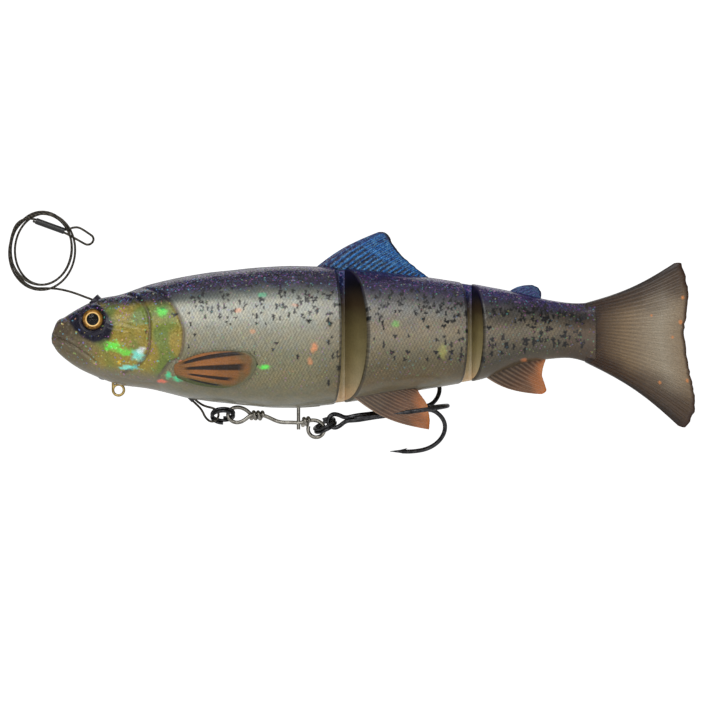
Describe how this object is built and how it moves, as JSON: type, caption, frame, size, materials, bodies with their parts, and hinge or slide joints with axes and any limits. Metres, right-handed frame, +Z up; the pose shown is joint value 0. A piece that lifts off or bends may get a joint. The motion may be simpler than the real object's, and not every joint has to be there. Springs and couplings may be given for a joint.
{
  "type": "swimbait",
  "caption": "Jointed soft fish lure in hinged sections, with fins, a sliding wire leader and a treble hook hung from a stinger wire under the belly.",
  "frame": {"origin": "centre of the chin eyelet's bore, on the body's centreline", "axes": "+X from nose to tail, +Z up towards the back, left flank at -Y"},
  "size_m": [0.2132, 0.031, 0.0758],
  "materials": {
    "front_skin": "glossy soft plastic, silver flank under a violet back",
    "middle_skin": "glossy soft plastic",
    "rear_skin": "glossy soft plastic",
    "orange_fin": "thin glossy soft plastic",
    "blue_fin": "thin soft plastic with blue glitter",
    "tail_fin": "thin soft plastic",
    "eye_iris": "gold foil",
    "eye_dome": "clear",
    "eyelet": "polished",
    "ballast": "dull lead-free alloy",
    "tube": "dark",
    "hinge_web": "dark soft plastic",
    "hinge_mesh": "woven nylon",
    "leader": "dark coated steel cable",
    "crimp": "black",
    "split_ring": "black nickel",
    "stinger": "bright stainless",
    "hook": "black nickel"
  },
  "bodies": {
    "front_section": {"front_body": "front_skin", "left_pectoral_fin": "orange_fin", "right_pectoral_fin": "orange_fin", "left_eye_iris": "eye_iris", "right_eye_iris": "eye_iris", "left_eye_dome": "eye_dome", "right_eye_dome": "eye_dome", "chin_eyelet": "eyelet", "head_ballast": "ballast", "belly_ballast": "ballast", "line_tube": "tube", "pin_socket": "tube", "front_hinge_web": "hinge_web", "front_hinge_mesh": "hinge_mesh", "front_crimp": "crimp"},
    "middle_section": {"middle_body": "middle_skin", "dorsal_fin": "blue_fin", "left_pelvic_fin": "orange_fin", "right_pelvic_fin": "orange_fin", "rear_hinge_web": "hinge_web", "rear_hinge_mesh": "hinge_mesh"},
    "rear_section": {"rear_body": "rear_skin", "adipose_fin": "blue_fin", "anal_fin": "orange_fin"},
    "tail": {"tail_fin": "tail_fin"},
    "leader": {"leader_wire": "leader", "rear_crimp": "crimp"},
    "front_ring": {"front_ring": "split_ring"},
    "stinger": {"stinger_wire": "stinger"},
    "rear_ring": {"rear_ring": "split_ring"},
    "treble": {"treble_double_hook": "hook", "treble_third_hook": "hook"}
  },
  "joints": [
    {"name": "front_bend", "type": "hinge", "parent": "front_section", "child": "middle_section", "pos_m": [0.0672, 0, 0.0149], "axis": [0, 0, 1], "range_deg": [-25, 25], "stiffness_Nm_per_rad": 0.004, "deforming": ["front_hinge_web", "front_hinge_mesh"]},
    {"name": "rear_bend", "type": "hinge", "parent": "middle_section", "child": "rear_section", "pos_m": [0.1076, 0, 0.0149], "axis": [0, 0, 1], "range_deg": [-22, 22], "stiffness_Nm_per_rad": 0.003, "deforming": ["rear_hinge_web", "rear_hinge_mesh"]},
    {"name": "tail_flex", "type": "hinge", "parent": "rear_section", "child": "tail", "pos_m": [0.1474, 0, 0.0149], "axis": [0, 0, 1], "range_deg": [-20, 20], "stiffness_Nm_per_rad": 0.002},
    {"name": "leader_slide", "type": "slide", "parent": "front_section", "child": "leader", "axis": [0.7071, 0, -0.7071], "range_m": [0, 0.01], "deforming": ["leader_wire"]},
    {"name": "ring_swing", "type": "hinge", "parent": "leader", "child": "front_ring", "pos_m": [0.029, 0, -0.0078], "axis": [0, 1, 0], "range_deg": [0, 15]},
    {"name": "stinger_swing", "type": "hinge", "parent": "front_ring", "child": "stinger", "pos_m": [0.0358, 0, -0.0074], "axis": [0, 1, 0], "range_deg": [0, 45]},
    {"name": "hook_drop", "type": "hinge", "parent": "stinger", "child": "rear_ring", "pos_m": [0.0609, 0, -0.0121], "axis": [0, 1, 0], "range_deg": [0, 50]},
    {"name": "hook_sway", "type": "hinge", "parent": "rear_ring", "child": "treble", "pos_m": [0.06715, 0, -0.00955], "axis": [0, 0, 1], "range_deg": [-25, 25]}
  ],
  "couplings": [
    {"joint": "hook_sway", "follows": "front_bend", "ratio": 1}
  ]
}
